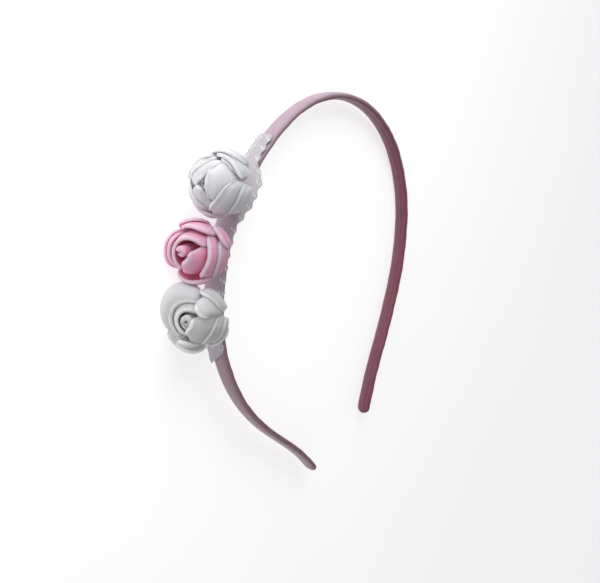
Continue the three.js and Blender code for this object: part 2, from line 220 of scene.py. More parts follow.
def shade_of(tree, name):
    """A value that the piece's points carry."""
    node = tree.nodes.new("ShaderNodeAttribute")
    node.attribute_name = name
    return node.outputs["Fac"]


def noise_of(tree, coordinates, scale, detail):
    """A noise texture on the given coordinates."""
    noise = tree.nodes.new("ShaderNodeTexNoise")
    noise.inputs["Scale"].default_value = scale
    noise.inputs["Detail"].default_value = detail
    tree.links.new(coordinates, noise.inputs["Vector"])
    return noise.outputs["Fac"]


def spread(tree, value, low, high, from_low=0.3, from_high=0.7):
    """A value of the tree, moved from one range to another."""
    node = tree.nodes.new("ShaderNodeMapRange")
    node.inputs["From Min"].default_value = from_low
    node.inputs["From Max"].default_value = from_high
    node.inputs["To Min"].default_value = low
    node.inputs["To Max"].default_value = high
    tree.links.new(value, node.inputs["Value"])
    return node.outputs["Result"]


def ramp_of(tree, value, stops):
    """Colours along a value, from (place, red, green, blue) stops."""
    node = tree.nodes.new("ShaderNodeValToRGB")
    colours = node.color_ramp.elements
    while len(colours) < len(stops):
        colours.new(0.5)
    for element, (place, *colour) in zip(colours, stops):
        element.position = place
        element.color = (*colour, 1.0)
    tree.links.new(value, node.inputs["Fac"])
    return node.outputs["Color"]


def mix_of(tree, share, first, second):
    """Two colours of the tree mixed by a share."""
    node = tree.nodes.new("ShaderNodeMix")
    node.data_type = "RGBA"
    tree.links.new(share, node.inputs["Factor"])
    tree.links.new(first, node.inputs["A"])
    tree.links.new(second, node.inputs["B"])
    return node.outputs["Result"]


def bump_of(tree, height, distance, strength, under=None):
    """A bump from a height, on top of another bump if one is given."""
    node = tree.nodes.new("ShaderNodeBump")
    node.inputs["Distance"].default_value = distance
    node.inputs["Strength"].default_value = strength
    tree.links.new(height, node.inputs["Height"])
    if under is not None:
        tree.links.new(under, node.inputs["Normal"])
    return node.outputs["Normal"]


HELPERS = (flat_map, shade_of, noise_of, spread, ramp_of, mix_of, bump_of)
print("finish helpers:", [helper.__name__ for helper in HELPERS])

# %% [markdown]
# ## Satin ribbon
# The ribbon is satin: its long threads lie side by side along the band, so it shines in streaks along its
# length and looks paler where the light grazes it. The flat map counts millimetres along and around the
# band, so a noise that is stretched along the band gives the thread lines at their real size, in the
# colour, the roughness and the bump.

# %% Satin finish
STREAKS_PER_MM = (0.08, 4.0, 1.0)
THREADS_PER_MM = (0.5, 9.0, 1.0)
OUTER_DYE = [(0.3, 0.42, 0.30, 0.37), (0.7, 0.505, 0.37, 0.45)]
# Painted shade: darker colours for the inner face and the legs, which lie in shade.
PAINTED_SHADE_COLOURS = [(0.3, 0.19, 0.055, 0.085), (0.7, 0.26, 0.085, 0.125)]


def lines_of(tree, per_mm, detail):
    """Noise on the flat map, with so many waves to the millimetre along and around the band."""
    stretch = tree.nodes.new("ShaderNodeMapping")
    stretch.inputs["Scale"].default_value = per_mm
    tree.links.new(flat_map(tree), stretch.inputs["Vector"])
    return noise_of(tree, stretch.outputs["Vector"], 1.0, detail)


def make_satin():
    """Streaks along the band in colour, roughness and bump; painted shade darkens the inner face and legs.
    """
    finish, tree, shader = start_finish("satin_ribbon")
    streaks = lines_of(tree, STREAKS_PER_MM, 3.0)
    threads = lines_of(tree, THREADS_PER_MM, 1.0)
    outer_dye = ramp_of(tree, streaks, OUTER_DYE)
    painted_inner_shade = ramp_of(tree, streaks, PAINTED_SHADE_COLOURS)
    # The inner value mixes painted shade into the ribbon's colour.
    colour_and_shade = mix_of(tree, shade_of(tree, "inner"), outer_dye, painted_inner_shade)
    tree.links.new(colour_and_shade, shader.inputs["Base Color"])
    tree.links.new(spread(tree, threads, 0.34, 0.5), shader.inputs["Roughness"])
    normal = bump_of(tree, threads, 0.00006, 0.35)
    tree.links.new(bump_of(tree, streaks, 0.0002, 0.25, normal), shader.inputs["Normal"])
    shader.inputs["Sheen Weight"].default_value = 0.25
    shader.inputs["Sheen Roughness"].default_value = 0.35
    shader.inputs["Sheen Tint"].default_value = (0.95, 0.88, 0.97, 1.0)
    shader.inputs["Specular IOR Level"].default_value = 0.45
    return finish


SATIN = make_satin()
print("satin nodes:", len(SATIN.node_tree.nodes))

# %% [markdown]
# ## The covered band
# A ribbon is wrapped lengthwise round the springy core, and one edge is stuck down over the other on the
# inner face. A curve with a bevel would give a plain tube. Here the flattened round section is carried
# along the line as one array, so the overlap is a small step in the section, and the ribbon's slight
# slackness is a slow wave along it.

# %% Band
BAND_RINGS = 560
BAND_TIP_RINGS = 10
BAND_SIDES = 64
SEAM_SIDE = 0.55
FLAP_HEIGHT = 0.2
FLAP_FROM = -2.2
FLAP_RAMP = 0.8
SLACK = 0.045
SLACK_WAVES = [(0.23, 0, 1.0), (0.61, 2, 1.0), (1.37, 1, 0.6)]
# Painted shade: from this arc on, the legs are painted darker all round.
LEG_FROM = 60
LEG_REACH = 60
LEG_PAINTED_SHADE = 0.5
SHADE_SOFTNESS = 1.4
TIP_PAINTED_SHADE = 0.5


def ease(value):
    """Smooth step from 0 to 1 of a value held between them."""
    held = np.clip(value, 0, 1)
    return held * held * (3 - 2 * held)


def band_rings(arc, size, angle):
    """Section times size at each station, with a step on the inner face and slow waves along the ribbon."""
    sideways, lift = band_section(angle)
    arcs = np.repeat(arc[:, None], len(angle), axis=1)
    sizes = size[:, None]
    wave = SLACK * sum(share * np.sin(rate * arcs + turns * angle) for rate, turns, share in SLACK_WAVES)
    side = sideways * BAND_WIDTH / 2
    flap = FLAP_HEIGHT * ease((side - FLAP_FROM) / FLAP_RAMP) * (side < SEAM_SIDE) * (lift < 0)
    lifts = (lift * BAND_THICKNESS / 2 + 0.5 * wave * np.sign(lift) - flap) * np.sqrt(sizes)
    return beside_hoop(arcs, lifts, (side + wave * np.abs(sideways)) * sizes)


def painted_band_shade(arc, lift):
    """Painted shade: 0 on the outer face, 1 on the inner, soft at the edges, and darker all round on the
    legs.
    """
    leg = LEG_PAINTED_SHADE * ease((np.abs(arc) - LEG_FROM) / LEG_REACH)
    shade = 1 - (1 - leg)[:, None] * (1 - ease(0.5 - lift / SHADE_SOFTNESS))
    return np.append(shade.ravel(), [TIP_PAINTED_SHADE, TIP_PAINTED_SHADE])


def make_band():
    """The rings as one grid that closes round, a point on each tip, and a flat map in millimetres."""
    arc, size = band_stations(BAND_RINGS, BAND_TIP_RINGS)
    angle = 2 * np.pi * np.arange(BAND_SIDES) / BAND_SIDES
    rings = band_rings(arc, size, angle)
    ends = hoop_at(np.array([-HALF_LENGTH, HALF_LENGTH]))[0]
    rows, columns = rings.shape[:2]
    wrapped = closed_round(rows, columns)
    first = np.stack([np.full(columns, rows * columns), wrapped[0, :-1], wrapped[0, 1:]], axis=-1)
    last = np.stack([np.full(columns, rows * columns + 1), wrapped[-1, 1:], wrapped[-1, :-1]], axis=-1)
    faces = grid_faces(wrapped).tolist() + first.tolist() + last.tolist()
    around = np.arange(columns + 1) * (2 * (BAND_WIDTH + BAND_THICKNESS) / columns)
    flat = np.stack(np.meshgrid(arc, around, indexing="ij"), axis=-1)
    quad_uv = flat.reshape(-1, 2)[grid_faces(np.arange(rows * (columns + 1)).reshape(rows, columns + 1))]
    cap_uv = np.stack([np.stack([flat[row, :-1]] * 3, axis=1) for row in (0, -1)]).reshape(-1, 2)
    points = np.concatenate([rings.reshape(-1, 3), ends])
    corner_uv = np.concatenate([quad_uv.reshape(-1, 2), cap_uv])
    # The inner value is painted shade on the inner face, the legs and the tips.
    shade = painted_band_shade(arc, band_section(angle)[1])
    return make_piece("satin_band", points, faces, corner_uv, SATIN, {"inner": shade})


band = make_band()
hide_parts("band")
print("band:", len(band.data.polygons), "faces")

# %% [markdown]
# ## Foam
# The petals are cut from soft craft foam about a millimetre thick. It is matt, fine-pored and lets some
# light through, so thin rims look bright and deep folds take the colour of their neighbours. A plain colour
# would look like plaster. Each petal carries a value that runs from its foot to its rim, and the colour
# follows it: this paints light and shade into the colour, with a painted highlight on the rims, painted
# shade deep in the pink rose and painted light in the white roses' deep folds. The foam of the bottom rose
# is painted a little greyer than that of the top rose, as painted shade.

# %% Foam finishes
MOTTLE = 0.07
MOTTLE_PER_M = 420.0
PORES_PER_M = 5200.0
DENTS_PER_M = 700.0
LIGHT_DEPTH = 0.0042
WHITE_GLOW = (1.0, 0.95, 0.95)
PINK_GLOW = (1.0, 0.5, 0.6)


def make_foam(name, stops, glow):
    """Painted light and shade along the rim value, a little mottled; pores and dents as bumps; subsurface
    light.
    """
    finish, tree, shader = start_finish(name)
    place = tree.nodes.new("ShaderNodeTexCoord").outputs["Object"]
    mottle = noise_of(tree, place, MOTTLE_PER_M, 3.0)
    mottled = tree.nodes.new("ShaderNodeMath")
    mottled.operation = "ADD"
    tree.links.new(spread(tree, mottle, -MOTTLE, MOTTLE), mottled.inputs[0])
    # The rim value carries the painted light and shade.
    tree.links.new(shade_of(tree, "rim"), mottled.inputs[1])
    tree.links.new(ramp_of(tree, mottled.outputs["Value"], stops), shader.inputs["Base Color"])
    pores = noise_of(tree, place, PORES_PER_M, 2.0)
    dents = noise_of(tree, place, DENTS_PER_M, 2.0)
    tree.links.new(spread(tree, pores, 0.6, 0.8), shader.inputs["Roughness"])
    normal = bump_of(tree, pores, 0.00005, 0.3)
    tree.links.new(bump_of(tree, dents, 0.0003, 0.22, normal), shader.inputs["Normal"])
    shader.inputs["Subsurface Weight"].default_value = 0.85
    shader.inputs["Subsurface Radius"].default_value = glow
    shader.inputs["Subsurface Scale"].default_value = LIGHT_DEPTH
    shader.inputs["Specular IOR Level"].default_value = 0.35
    shader.inputs["Sheen Weight"].default_value = 0.08
    return finish


# White foam: the pale foot is painted light in the deep folds, the pale rim a painted highlight.
WHITE_FOAM = make_foam(
    "white_foam",
    [(0.0, 0.97, 0.97, 0.99), (0.6, 0.77, 0.76, 0.81), (0.86, 0.75, 0.74, 0.79), (0.95, 0.99, 0.99, 1.0)],
    WHITE_GLOW,
)
# The same white foam made greyer for the bottom rose: painted shade over that whole rose.
SHADED_WHITE_FOAM = make_foam(
    "shaded_white_foam",
    [(0.0, 0.88, 0.88, 0.90), (0.6, 0.64, 0.64, 0.66), (0.86, 0.61, 0.61, 0.63), (0.95, 0.93, 0.93, 0.94)],
    WHITE_GLOW,
)
# Pink foam: the deep pink towards the foot is painted shade, the pale rim a painted highlight.
PINK_FOAM = make_foam(
    "pink_foam",
    [(0.0, 0.93, 0.27, 0.43), (0.5, 0.82, 0.27, 0.43), (0.8, 0.76, 0.36, 0.50), (1.0, 0.83, 0.54, 0.66)],
    PINK_GLOW,
)
print("foam nodes:", len(WHITE_FOAM.node_tree.nodes))

# %% [markdown]
# ## A petal as a wall of foam
# A petal is a sheet with a soft round rim. A Solidify modifier would give it square edges, so both faces
# are worked out together: the middle surface is moved both ways along its normal by half the thickness, and
# that half follows a quarter circle down to nothing at the border, where front and back share their points.
# The border leans towards the back, so the rim is round on its outer side and lies close on the petal
# inside it.

# %% Foam wall helper
WALL_STEP = 1e-3
EDGE_LEAN = 1.3
EDGE_STEPS = 4


def round_off(distance, half):
    """Share of the half thickness at a distance from the edge: a quarter circle of that half as radius."""
    inside = 1 - np.clip(distance / half, 0, 1)
    return np.sqrt(1 - inside * inside)


def edge_marks(count, close):
    """Marks from 0 to 1: a few at each end on a quarter circle of width close, and even ones between."""
    near = close * (1 - np.cos(np.linspace(0, np.pi / 2, EDGE_STEPS + 1)))[:-1]
    return np.concatenate([near, np.linspace(close, 1 - close, count), 1 - near[::-1]])


def foam_wall(surface, first, second, half):
    """Front and back of a surface, half a thickness away along its normal, with a leaning border."""
    a, b = np.meshgrid(first, second, indexing="ij")
    middle = surface(a, b)
    along_a = surface(a + WALL_STEP, b) - surface(a - WALL_STEP, b)
    along_b = surface(a, b + WALL_STEP) - surface(a, b - WALL_STEP)
    normal = np.cross(along_a, along_b)
    normal = normal / np.linalg.norm(normal, axis=-1, keepdims=True)
    halves = half(a, b)
    lean = EDGE_LEAN * (halves - halves.max())
    rows, columns = a.shape
    front = np.arange(rows * columns).reshape(rows, columns)
    back = front.copy()
    back[1:-1, 1:-1] = rows * columns + np.arange((rows - 2) * (columns - 2)).reshape(rows - 2, columns - 2)
    inner = (slice(1, -1), slice(1, -1))
    fore = middle + normal * (lean + halves)[..., None]
    rear = middle + normal * (lean - halves)[..., None]
    points = np.concatenate([fore.reshape(-1, 3), rear[inner].reshape(-1, 3)])
    quads = np.concatenate([grid_faces(front), grid_faces(back)[:, ::-1]])
    shares = np.stack([a, b], axis=-1)
    shares = np.concatenate([shares.reshape(-1, 2), shares[inner].reshape(-1, 2)])
    return points, quads, shares


print("marks of a wall:", np.round(edge_marks(5, 0.1), 3))

# %% [markdown]
# ## The petals' form
# All the petals of a rose follow one closing dome. Each ring of petals is a shell of that dome, one pitch
# further out than the ring inside it, and a petal is a part of its shell: so wide, and up to its rim.
# Separate cups would gape, but shells hug each other, so each rim lies on the next face, as in a real foam
# rose. A cubic Bezier curve gives the dome's profile, and its normal carries the profile outwards.

# %% Petal surfaces
RINGS = {"core": 0, "inner": 1, "middle": 2, "outer": 3, "skirt": 4}
RING_PITCH = 1.1
FOOT_SHARE = 0.6
WIDEST_AT = 0.5
CURL_FROM = 0.6
CORNER_ROUND = 0.08
WAVE = 0.05
WAVE_RATE = 3.3
SAMPLE_DOME = [(1.8, 4.6), (5.0, 4.6), (5.0, 12.0), (1.0, 14.0)]


def dome_at(dome, outwards, up):
    """Radius and height on a cubic Bezier curve of four corners, moved along its outward normal."""
    corners = np.array(dome)
    weights = np.stack([(1 - up) ** 3, 3 * up * (1 - up) ** 2, 3 * up**2 * (1 - up), up**3], axis=-1)
    slopes = np.stack([(1 - up) ** 2, 2 * up * (1 - up), up**2], axis=-1)
    point = weights @ corners
    along = slopes @ np.diff(corners, axis=0)
    along = along / np.linalg.norm(along, axis=-1, keepdims=True)
    return point[..., 0] + outwards * along[..., 1], point[..., 1] - outwards * along[..., 0]


def petal_surface(dome, petal, phase):
    """A part of the ring's shell: its rim falls at the corners; it is let out, curled, bulged and waved."""

    def surface(a, b):
        across = 2 * a - 1
        fall = petal["tilt"] * across + petal["corner"] * np.abs(across) ** 3 + CORNER_ROUND * across**14
        up = b * petal["rim"] * (1 - fall)
        opening = ease(up / WIDEST_AT)
        half_span = petal["span"] / 2 * (FOOT_SHARE + (1 - FOOT_SHARE) * opening)
        angle = np.radians(petal["turn"] + half_span * across)
        radius, height = dome_at(dome, RING_PITCH * RINGS[petal["ring"]], up)
        radius = radius + petal["first"] * np.where(across < 0, across**2, 0) * opening
        radius = radius + petal["curl"] * ease((b - CURL_FROM) / (1 - CURL_FROM)) ** 2
        radius = radius + petal["bulge"] * np.sin(np.pi * b) * (1 - across**2)
        radius = radius + WAVE * np.sin(WAVE_RATE * across + phase) * b**2
        return np.stack([radius * np.cos(angle), radius * np.sin(angle), height], axis=-1)

    return surface


half_way = dome_at(SAMPLE_DOME, RING_PITCH, np.array([0.5]))
print("a shell's radius and height half way up:", np.round(half_way, 2).ravel())

# %% [markdown]
# ## A petal's thickness
# The foam is about a millimetre thick and was pressed hot, so it gets thinner towards the rim and the upper
# sides and ends in a small lip. Distances from the rim and from the sides are counted in millimetres along
# the surface, so the edges are alike on all petals of a rose. A value of painted light and shade grows
# towards the rim, where a narrow stripe is a painted highlight, and the outer rings are painted paler than
# the core.

# %% Petal walls
FOAM = 1.12
SOFT = 0.4
TAPER = 2.4
SIDES_THIN_FROM = 0.6
SIDES_THIN_REACH = 0.3
LIP_RISE = 0.45
LIP_FROM_RIM = 0.3
LIP_REACH = 0.4
RING_PAINTED_LIGHT = 0.22
RIM_HIGHLIGHT_SHARE = 0.16
LENGTH_STEPS = 60
WIDTH_AT = 0.75
PETAL_ROWS = 28
COLUMN_DEGREES = 3.2
FEWEST_COLUMNS = 16


def line_length(points):
    """Sum of the distances between points in a row."""
    return float(np.linalg.norm(np.diff(points, axis=0), axis=1).sum())


def wall_half(a, b, width, length, border, soft):
    """Half the foam's thickness: thinner towards rim and upper sides, a lip, and rounded at every border."""
    from_rim = (1 - b) * length
    from_side = np.minimum(a, 1 - a) * width
    beside = 1 - ease((b - SIDES_THIN_FROM) / SIDES_THIN_REACH) * (1 - ease(from_side / TAPER))
    lip = LIP_RISE * (1 - border) * np.exp(-(((from_rim - LIP_FROM_RIM) / LIP_REACH) ** 2))
    thick = border + lip + (1 - border) * ease(from_rim / TAPER) * beside
    rounding = round_off(from_rim, soft) * round_off(from_side, SOFT) * round_off(b * length, SOFT)
    return FOAM / 2 * thick * rounding


def petal_wall(rose, petal, phase):
    """A wall of foam on the petal's surface, with its flat map in millimetres and its painted light and
    shade.
    """
    surface = petal_surface(rose["dome"], petal, phase)
    edge = rose["edge"]
    share = np.linspace(0, 1, LENGTH_STEPS)
    length = line_length(surface(np.full_like(share, 0.5), share))
    width = line_length(surface(share, np.full_like(share, WIDTH_AT)))

    def half(a, b):
        return wall_half(a, b, width, length, edge["border"], edge["soft"])

    columns = edge_marks(max(FEWEST_COLUMNS, int(petal["span"] / COLUMN_DEGREES)), SOFT / width)
    points, quads, shares = foam_wall(surface, columns, edge_marks(PETAL_ROWS, SOFT / length), half)
    across, up = shares.T
    # Painted shade low on the petal, painted light up to the rim and on the outer rings, and a painted
    # highlight along the edges.
    face = (1 - RIM_HIGHLIGHT_SHARE) * (1 - (1 - up) * (1 - RING_PAINTED_LIGHT * RINGS[petal["ring"]]))
    from_edge = np.minimum((1 - up) * length, np.minimum(across, 1 - across) * width)
    pale = face + (1 - face) * ease(1 - from_edge / edge["highlight_stripe"])
    return points, quads, shares * np.array([width, length]), pale


near_rim = wall_half(0.5, np.array([0.9, 0.97, 1.0]), 8.0, 12.0, 0.5, SOFT)
print("half thickness near the rim:", np.round(near_rim, 3))

# %% [markdown]
# ## The rolled bud
# In the middle of a rose a strip of foam is rolled up on the stem. Its plan is a spiral whose radius grows
# with the turn, drawn in a little towards the top, and the same wall helper gives it soft edges. The short
# stem below is a turned bar, and bud and stem are one piece.

# %% Bud surfaces
BUD_INNER = 0.55
BUD_PITCH = 1.1
BUD_LEVEL = 6.2
BUD_SLOPE = 0.1
BUD_BORDER = 1.0
BUD_FOOT_PAINTED_SHADE = 0.4
BUD_TOP_PAINTED_LIGHT = 0.88
BUD_ROWS = 20
BUD_COLUMNS = 16
BUD_COLUMNS_A_TURN = 44
STEM_SIDES = 24
STEM_RADIUS = 1.2
STEM_TOP = 9.0
STEM_FOOT_STEPS = np.array([0.0, 0.02, 0.2, 0.6])
STEM_TOP_STEPS = np.array([-0.4, -0.05, 0.0])
STEM_SHARES = np.array([0.02, 0.8, 0.97, 1.0, 1.0, 0.75, 0.02])


def bud_wall(bud):
    """Wall of foam on a spiral: radius is a start plus pitch times turns, less with the height squared."""
    away = math.radians(bud["shift_turn"])

    def surface(a, b):
        angle = np.radians(bud["turn"] + 360 * bud["turns"] * a)
        radius = (BUD_INNER + BUD_PITCH * bud["turns"] * a) * (1 - bud["taper"] * b * b)
        x = bud["shift"] * math.cos(away) + radius * np.cos(angle)
        y = bud["shift"] * math.sin(away) + radius * np.sin(angle)
        top = bud["top"] - bud["droop"] * a * a + BUD_SLOPE * np.sin(angle)
        return np.stack([x, y, BUD_LEVEL + (top - BUD_LEVEL) * b], axis=-1)

    length = bud["top"] - BUD_LEVEL
    width = 2 * math.pi * bud["turns"] * (BUD_INNER + BUD_PITCH * bud["turns"] / 2)

    def half(a, b):
        return wall_half(a, b, width, length, BUD_BORDER, SOFT)

    columns = edge_marks(int(BUD_COLUMNS_A_TURN * bud["turns"]) + BUD_COLUMNS, SOFT / width)
    points, quads, shares = foam_wall(surface, columns, edge_marks(BUD_ROWS, SOFT / length), half)
    # Painted shade at the bud's foot, growing to painted light at its top.
    pale = BUD_FOOT_PAINTED_SHADE + (BUD_TOP_PAINTED_LIGHT - BUD_FOOT_PAINTED_SHADE) * shares[:, 1] ** 3
    return points, quads, shares * np.array([width, length]), pale


def stem_bar(foot):
    """A turned bar: radius over height, rounded at both ends, closed to a point on the axis."""
    height = np.concatenate([foot + STEM_FOOT_STEPS, STEM_TOP + STEM_TOP_STEPS])
    angle = 2 * np.pi * np.arange(STEM_SIDES) / STEM_SIDES
    ring = np.stack([np.cos(angle), np.sin(angle)], axis=-1)
    walls = (STEM_RADIUS * STEM_SHARES)[:, None, None] * ring[None]
    points = np.concatenate([walls, np.repeat(height[:, None, None], STEM_SIDES, axis=1)], axis=-1)
    wrapped = closed_round(len(height), STEM_SIDES)
    quads = grid_faces(wrapped)[:, ::-1]
    caps = [wrapped[0, :-1][::-1].tolist(), wrapped[-1, :-1].tolist()]
    return points.reshape(-1, 3), quads, caps


print("stem faces:", len(stem_bar(-1.0)[1]))

# %% [markdown]
# ## The three roses
# Each row of the tables below is one petal: its ring, the turn of its middle round the rose, its span and
# the share of the dome that its rim reaches. Some rows also say how far the rim falls at its corners or
# from one corner to the other, curls outwards, is let out at its first edge, or bulges. The rows follow
# those of the solids, so each foam petal stands where its solid is. In the top rose a few petals are a
# little wider and have squarer corners, so that no slit shows between two soft rims.

# %% Rose tables
PLAIN_PETAL = dict(corner=0.24, tilt=0, curl=0, first=0, bulge=0)
TOP_PETALS = [
    dict(ring="inner", turn=5, span=141, rim=0.97, corner=0.12),
    dict(ring="inner", turn=135, span=116, rim=0.99, corner=0.0),
    dict(ring="inner", turn=245, span=98, rim=0.99, corner=0.0),
    dict(ring="middle", turn=322, span=112, rim=0.76),
    dict(ring="middle", turn=60, span=72, rim=0.56),
    dict(ring="middle", turn=138, span=74, rim=0.83, corner=0.12),
    dict(ring="middle", turn=218, span=94, rim=0.84, corner=0.1, first=0.4),
    dict(ring="outer", turn=332, span=84, rim=0.5),
    dict(ring="outer", turn=62, span=86, rim=0.54, corner=0.1),
    dict(ring="outer", turn=147, span=78, rim=0.7, corner=0.1),
    dict(ring="outer", turn=238, span=90, rim=0.62),
    dict(ring="skirt", turn=88, span=92, rim=0.5),
    dict(ring="skirt", turn=190, span=80, rim=0.42),
]
MIDDLE_PETALS = [
    dict(ring="core", turn=322, span=160, rim=1.0, corner=0.02, curl=-1.5, first=1.3),
    dict(ring="inner", turn=134, span=204, rim=0.86, corner=0.12),
    dict(ring="middle", turn=358, span=132, rim=0.74, corner=0.2, tilt=0.08),
    dict(ring="middle", turn=177, span=86, rim=0.8, curl=0.6),
    dict(ring="outer", turn=356, span=92, rim=0.57, tilt=0.06),
    dict(ring="outer", turn=90, span=84, rim=0.72, curl=0.2),
    dict(ring="outer", turn=178, span=80, rim=0.76, curl=0.9),
    dict(ring="outer", turn=264, span=84, rim=0.74),
    dict(ring="skirt", turn=42, span=60, rim=0.5),
    dict(ring="skirt", turn=113, span=54, rim=0.62, curl=0.5),
]
BOTTOM_PETALS = [
    dict(ring="core", turn=155, span=218, rim=0.84, corner=0.06),
    dict(ring="inner", turn=335, span=130, rim=0.92, corner=0.04, curl=-1.2),
    dict(ring="inner", turn=154, span=168, rim=0.72, corner=0.05, bulge=4.4),
    dict(ring="middle", turn=264, span=50, rim=0.8),
    dict(ring="middle", turn=333, span=80, rim=0.66, corner=0.2, tilt=0.04),
    dict(ring="middle", turn=44, span=54, rim=0.84, corner=0.14),
    dict(ring="outer", turn=258, span=56, rim=0.55, curl=1.0),
    dict(ring="outer", turn=334, span=74, rim=0.45),
    dict(ring="skirt", turn=241, span=68, rim=0.42, curl=1.6, first=1.3),
    dict(ring="skirt", turn=312, span=70, rim=0.36),
    dict(ring="outer", turn=49, span=68, rim=0.56, corner=0.2, tilt=-0.12),
]
print("petals:", len(TOP_PETALS), len(MIDDLE_PETALS), len(BOTTOM_PETALS))

# %% [markdown]
# ## Placing a rose
# A rose stands on the lace with its stem outwards and leans about its foot. The place is a chain of turns
# and moves: the hoop's own directions at that point, then the lean, then the stand-off and the size. One
# product of matrices does it for all points of a piece at once.

# %% Roses
GAP = 0.3
LACE_THICKNESS = 0.5
WAVE_PHASE = 2.4
# The stripe is the width in mm of the painted highlight along the petals' edges.
WHITE_EDGE = dict(border=0.36, soft=0.45, highlight_stripe=1.0)
PINK_EDGE = dict(border=0.55, soft=0.6, highlight_stripe=1.8)
TOP_ROSE = dict(
    name="rose_top",
    foam=WHITE_FOAM,
    slot="white_foam",
    place=dict(arc=-42.8, aside=3.0, stand=2.2, lean_tip=25, lean_up=-2, size=1.1),
    dome=[(1.85, 4.6), (5.2, 4.6), (5.6, 12.4), (0.4, 14.0)],
    edge=WHITE_EDGE,
    petals=TOP_PETALS,
    bud=dict(turns=2.0, turn=60, top=14.0, droop=1.2, taper=0.3, shift=0, shift_turn=0),
)
MIDDLE_ROSE = dict(
    name="rose_middle",
    foam=PINK_FOAM,
    slot="pink_foam",
    place=dict(arc=-60.7, aside=0.4, stand=1.2, lean_tip=13, lean_up=4, size=1.04),
    dome=[(1.85, 4.6), (4.4, 4.6), (5.2, 11.0), (2.6, 13.6)],
    edge=PINK_EDGE,
    petals=MIDDLE_PETALS,
    bud=dict(turns=0.95, turn=200, top=13.8, droop=0.3, taper=0.25, shift=1.4, shift_turn=150),
)
BOTTOM_ROSE = dict(
    name="rose_bottom",
    # The bottom rose's greyer foam is painted shade.
    foam=SHADED_WHITE_FOAM,
    slot="white_foam",
    place=dict(arc=-77.3, aside=0.5, stand=1.5, lean_tip=-4, lean_up=15, size=1.12),
    dome=[(1.85, 4.6), (5.0, 4.6), (5.4, 12.0), (1.2, 14.0)],
    edge=WHITE_EDGE,
    petals=BOTTOM_PETALS,
    bud=dict(turns=1.2, turn=200, top=12.8, droop=0.4, taper=0.2, shift=0, shift_turn=0),
)


def rose_place(arc, aside, stand, lean_tip, lean_up, size):
    """Function that takes a rose's points to the hoop: size, stand-off, lean, then the hoop's directions."""
    _, along, out = hoop_at(np.array(arc))
    basis = np.stack([UP, along, out], axis=-1)
    lean = Matrix.Rotation(math.radians(lean_tip), 3, "X") @ Matrix.Rotation(math.radians(lean_up), 3, "Y")
    turned = basis @ np.array(lean)
    seat = beside_hoop(np.array(arc), BAND_THICKNESS / 2 + GAP + LACE_THICKNESS + GAP, aside)

    def place(points):
        return (points * size + np.array([0, 0, stand])) @ turned.T + seat

    return place


def make_bud(rose, place):
    """The rolled bud and its stem in one mesh."""
    points, quads, flat, pale = bud_wall(rose["bud"])
    tilt = math.radians(math.hypot(rose["place"]["lean_tip"], rose["place"]["lean_up"]))
    foot = STEM_RADIUS * math.tan(tilt) - rose["place"]["stand"] / rose["place"]["size"]
    bar, bar_quads, caps = stem_bar(foot)
    count = len(points)
    faces = quads.tolist() + (bar_quads + count).tolist() + [[count + p for p in cap] for cap in caps]
    bar_corners = 4 * len(bar_quads) + sum(len(cap) for cap in caps)
    corner_uv = np.concatenate([flat[quads].reshape(-1, 2), np.zeros((bar_corners, 2))])
    # The stem takes the bud's painted shade of the foot.
    pale = np.concatenate([pale, np.full(len(bar), BUD_FOOT_PAINTED_SHADE)])
    both = place(np.concatenate([points, bar]))
    return make_piece("foam_%s_bud" % rose["name"], both, faces, corner_uv, rose["foam"], {"rim": pale})


def make_rose(rose):
    """One bud with its stem, and one object for each petal row, each in place of its solid."""
    place = rose_place(**rose["place"])
    pieces = [make_bud(rose, place)]
    nodes = [rose["name"] + "_bud"]
    for number, row in enumerate(rose["petals"], 1):
        points, quads, flat, pale = petal_wall(rose, {**PLAIN_PETAL, **row}, WAVE_PHASE * number)
        nodes.append("%s_petal_%02d" % (rose["name"], number))
        name = "foam_" + nodes[-1]
        corner_uv = flat[quads].reshape(-1, 2)
        # The rim value carries the petal's painted light and shade.
        shades = {"rim": pale}
        pieces.append(make_piece(name, place(points), quads.tolist(), corner_uv, rose["foam"], shades))
    for piece, node in zip(pieces, nodes):
        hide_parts(node)
    return pieces


roses = [make_rose(rose) for rose in (TOP_ROSE, MIDDLE_ROSE, BOTTOM_ROSE)]
print("foam faces:", [sum(len(piece.data.polygons) for piece in rose) for rose in roses])

# %% [markdown]
# ## Lace finish
# The lace is a fine white net, and its meshes are too small to model one by one. So the net is in the
# finish: two crossed sets of thread lines on the flat map, which counts millimetres of cloth, give the
# shade, the bump and how much shows through between the threads. The net's colour is grey rather than white,
# as painted shade. The stitches on it are of the same thread without gaps.

# %% Cotton finish
THREAD_TURNS = (0.7, -0.7)
GAP_SHADE = 0.7


